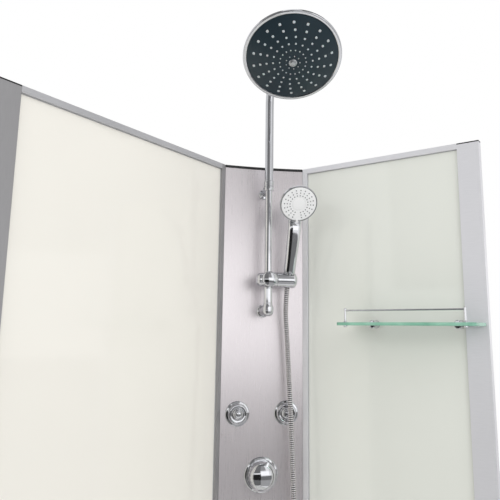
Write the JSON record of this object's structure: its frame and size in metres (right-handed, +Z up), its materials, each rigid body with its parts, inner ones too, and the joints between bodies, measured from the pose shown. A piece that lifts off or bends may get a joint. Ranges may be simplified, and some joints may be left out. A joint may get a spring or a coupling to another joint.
{
  "type": "shower cabin",
  "caption": "Open-front corner shower cabin: tray, framed glass walls and a diagonal shower column with rain head, handset, mixer, jets and shelf.",
  "frame": {"origin": "floor level, under the middle of the tray", "axes": "+Z up; the left wall stands along -X and the back wall along +Y, so the column is in the -X +Y corner and the open sides face +X and -Y"},
  "size_m": [0.7, 0.9, 2.307],
  "materials": {
    "tray_acrylic": "glossy white acrylic",
    "frame_steel": "galvanised grey",
    "foot_plastic": "black moulded plastic",
    "trap_plastic": "white moulded plastic",
    "chrome": "polished chrome",
    "left_glass": "warm white back-coated safety glass",
    "back_glass": "cool white back-coated safety glass",
    "frame_aluminium": "silver anodised",
    "cap_plastic": "black moulded plastic",
    "panel_aluminium": "satin anodised",
    "brass": "cast and machined brass",
    "copper": "bare copper pipe",
    "hose_steel": "chromed interlocked spiral",
    "shelf_glass": "clear toughened glass with green edges",
    "face_rubber": "dark slate satin",
    "nozzle_rubber": "pale grey silicone",
    "white_plastic": "white gloss plastic",
    "plated_plastic": "chrome-plated plastic"
  },
  "bodies": {
    "cabin": {"shower_tray": "tray_acrylic", "tray_frame": "frame_steel", "tray_feet": "foot_plastic", "waste_trap": "trap_plastic", "waste_flange": "chrome", "left_glass": "left_glass", "left_top_rail": "frame_aluminium", "left_bottom_rail": "frame_aluminium", "left_end_post": "frame_aluminium", "left_column_stile": "frame_aluminium", "back_glass": "back_glass", "back_top_rail": "frame_aluminium", "back_bottom_rail": "frame_aluminium", "back_end_post": "frame_aluminium", "back_column_stile": "frame_aluminium", "post_caps": "cap_plastic", "column_panel": "panel_aluminium", "column_top_cap": "cap_plastic", "column_straps": "frame_steel", "upper_bracket": "chrome", "riser_elbow": "chrome", "riser_sleeve": "chrome", "riser_tube_lower": "chrome", "mixer_body": "brass", "valve_cartridges": "foot_plastic", "mixer_plate": "chrome", "diverter_body": "brass", "diverter_plate": "chrome", "internal_pipes": "copper", "jet_bodies": "foot_plastic", "jet_backnuts": "foot_plastic", "jet_rings": "plated_plastic", "outlet_elbow": "chrome", "shower_hose": "hose_steel", "hose_nut": "chrome", "glass_shelf": "shelf_glass", "shelf_clamps": "chrome", "shelf_rail": "chrome"},
    "riser_carrier": {"riser_carrier": "foot_plastic"},
    "arm": {"riser_tube_upper": "chrome", "ball_nut": "chrome"},
    "lock_collar": {"lock_collar": "plated_plastic"},
    "rain_head": {"rain_head_shell": "chrome", "rain_head_face": "face_rubber", "rain_head_nozzles": "nozzle_rubber", "rain_head_screw": "chrome", "ball_stem": "chrome"},
    "slider": {"slider_body": "plated_plastic"},
    "slider_knob": {"slider_clamp_knob": "plated_plastic"},
    "holder": {"hand_holder": "plated_plastic"},
    "handset": {"handset_shell": "plated_plastic", "handset_connector": "plated_plastic", "handset_hub": "plated_plastic"},
    "selector": {"handset_selector": "white_plastic"},
    "mixer_lever": {"mixer_handle": "chrome", "mixer_spindle": "brass"},
    "diverter": {"diverter_knob": "chrome"},
    "jet_left": {"jet_ball_left": "nozzle_rubber"},
    "jet_right": {"jet_ball_right": "nozzle_rubber"},
    "waste_cover": {"waste_cover": "chrome"}
  },
  "joints": [
    {"name": "riser_slide", "type": "slide", "parent": "cabin", "child": "riser_carrier", "axis": [0, 0, 1], "range_m": [0, 0.15]},
    {"name": "arm_swivel", "type": "hinge", "parent": "riser_carrier", "child": "arm", "pos_m": [-0.198, 0.298, 1.95], "axis": [0, 0, 1], "range_deg": [-45, 45]},
    {"name": "collar_turn", "type": "hinge", "parent": "arm", "child": "lock_collar", "pos_m": [-0.198, 0.298, 1.93], "axis": [0, 0, 1], "range_deg": [0, 90]},
    {"name": "head_tilt", "type": "hinge", "parent": "arm", "child": "rain_head", "pos_m": [-0.00651, 0.10651, 2.21035], "axis": [0.7071, 0.7071, 0], "range_deg": [-15, 15]},
    {"name": "slider_slide", "type": "slide", "parent": "cabin", "child": "slider", "axis": [0, 0, 1], "range_m": [0, 0.228], "deforming": ["shower_hose"]},
    {"name": "knob_turn", "type": "hinge", "parent": "slider", "child": "slider_knob", "pos_m": [-0.18032, 0.28032, 1.658], "axis": [0.7071, -0.7071, 0], "range_deg": [0, 270]},
    {"name": "holder_tilt", "type": "hinge", "parent": "slider", "child": "holder", "pos_m": [-0.1577, 0.33831, 1.658], "axis": [0.7071, 0.7071, 0], "range_deg": [-15, 15], "deforming": ["shower_hose"]},
    {"name": "handset_lift", "type": "slide", "parent": "holder", "child": "handset", "axis": [0.2552, -0.1812, 0.9498], "range_m": [0, 0.03], "deforming": ["shower_hose"]},
    {"name": "selector_turn", "type": "hinge", "parent": "handset", "child": "selector", "pos_m": [-0.09528, 0.29179, 1.85852], "axis": [0.5862, -0.5862, -0.5592], "range_deg": [-40, 40]},
    {"name": "mixer_turn", "type": "hinge", "parent": "cabin", "child": "mixer_lever", "pos_m": [-0.24043, 0.34043, 1.132], "axis": [0.7071, -0.7071, 0], "range_deg": [-45, 45]},
    {"name": "diverter_turn", "type": "hinge", "parent": "cabin", "child": "diverter", "pos_m": [-0.23336, 0.33336, 0.985], "axis": [0.7071, -0.7071, 0], "range_deg": [0, 270]},
    {"name": "jet_left_tilt", "type": "hinge", "parent": "cabin", "child": "jet_left", "pos_m": [-0.29434, 0.29736, 1.2935], "axis": [0.6596, 0.7516, 0], "range_deg": [-12, 12]},
    {"name": "jet_right_tilt", "type": "hinge", "parent": "cabin", "child": "jet_right", "pos_m": [-0.19736, 0.39434, 1.2935], "axis": [0.7516, 0.6596, 0], "range_deg": [-12, 12]},
    {"name": "waste_cover_lift", "type": "slide", "parent": "cabin", "child": "waste_cover", "axis": [0, 0, 1], "range_m": [0, 0.03]}
  ]
}
